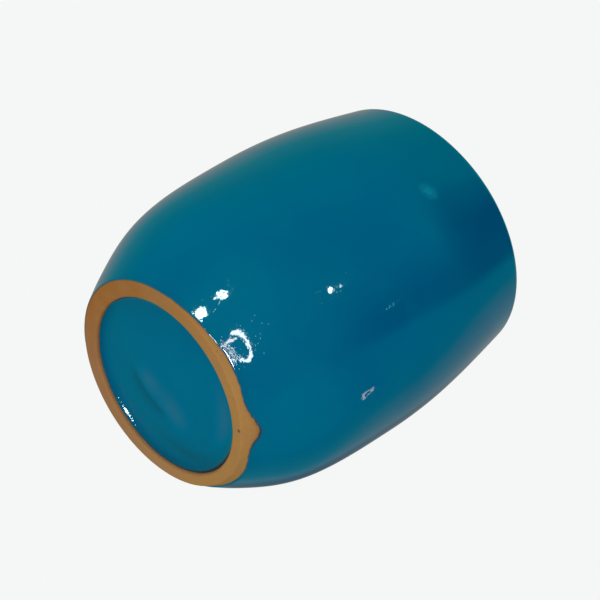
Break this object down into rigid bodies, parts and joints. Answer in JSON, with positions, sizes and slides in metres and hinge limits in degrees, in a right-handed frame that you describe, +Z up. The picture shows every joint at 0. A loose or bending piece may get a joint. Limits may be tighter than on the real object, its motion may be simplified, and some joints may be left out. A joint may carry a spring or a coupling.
{
  "type": "handleless pottery mug",
  "caption": "Barrel-shaped handleless pottery mug in terracotta with a gloss teal glaze outside and inside, a bare standing ring and a glazed well under the foot.",
  "frame": {"origin": "middle of the standing ring, on the surface that the mug stands on", "axes": "+Z up the mug's axis, out of the mouth; +X towards the side where the bare band of clay is tallest"},
  "size_m": [0.0822, 0.0822, 0.095],
  "materials": {
    "terracotta": "bare fired clay, matt",
    "teal_glaze": "gloss glaze"
  },
  "bodies": {
    "root": {"clay_body": "terracotta", "outer_glaze": "teal_glaze", "liner_glaze": "teal_glaze", "well_glaze": "teal_glaze"}
  },
  "joints": []
}
